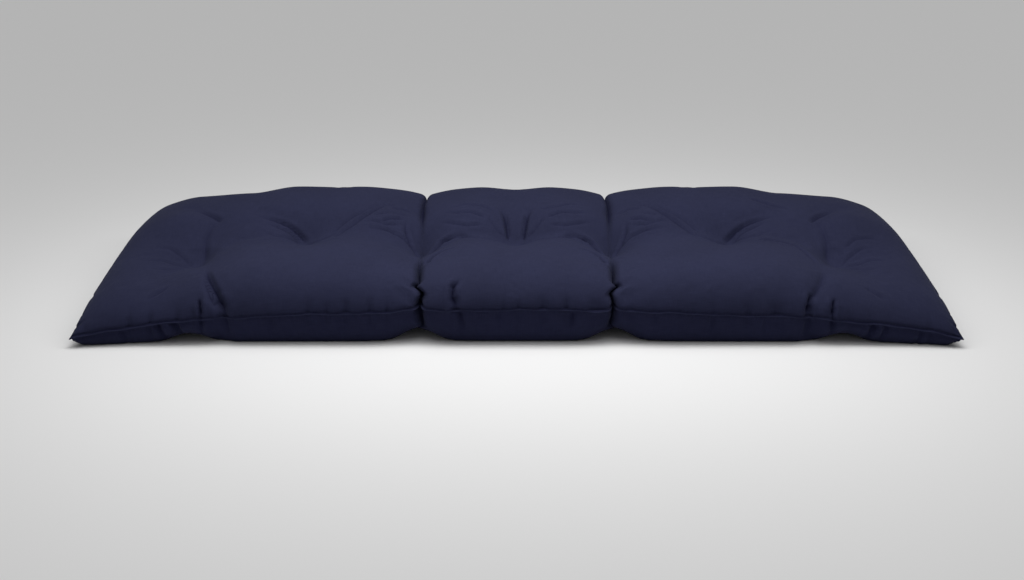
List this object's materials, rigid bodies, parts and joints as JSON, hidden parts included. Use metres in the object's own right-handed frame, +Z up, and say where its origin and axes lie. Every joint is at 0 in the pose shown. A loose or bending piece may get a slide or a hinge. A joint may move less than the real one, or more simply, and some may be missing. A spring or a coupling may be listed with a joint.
{
  "type": "bench cushion",
  "caption": "Long filled seat cushion with a sewn rim seam, tufts along its middle and dividers across it that part the fill into sections.",
  "frame": {"origin": "middle of the cushion's base, on the surface it lies on", "axes": "+X along the cushion's length, +Y towards its back edge, +Z up out of its tufted face"},
  "size_m": [1.488, 0.526, 0.1409],
  "materials": {
    "navy_cloth": "plain woven navy polyester cloth, matt with a faint sheen"
  },
  "bodies": {
    "root": {"cushion": "navy_cloth"}
  },
  "joints": []
}
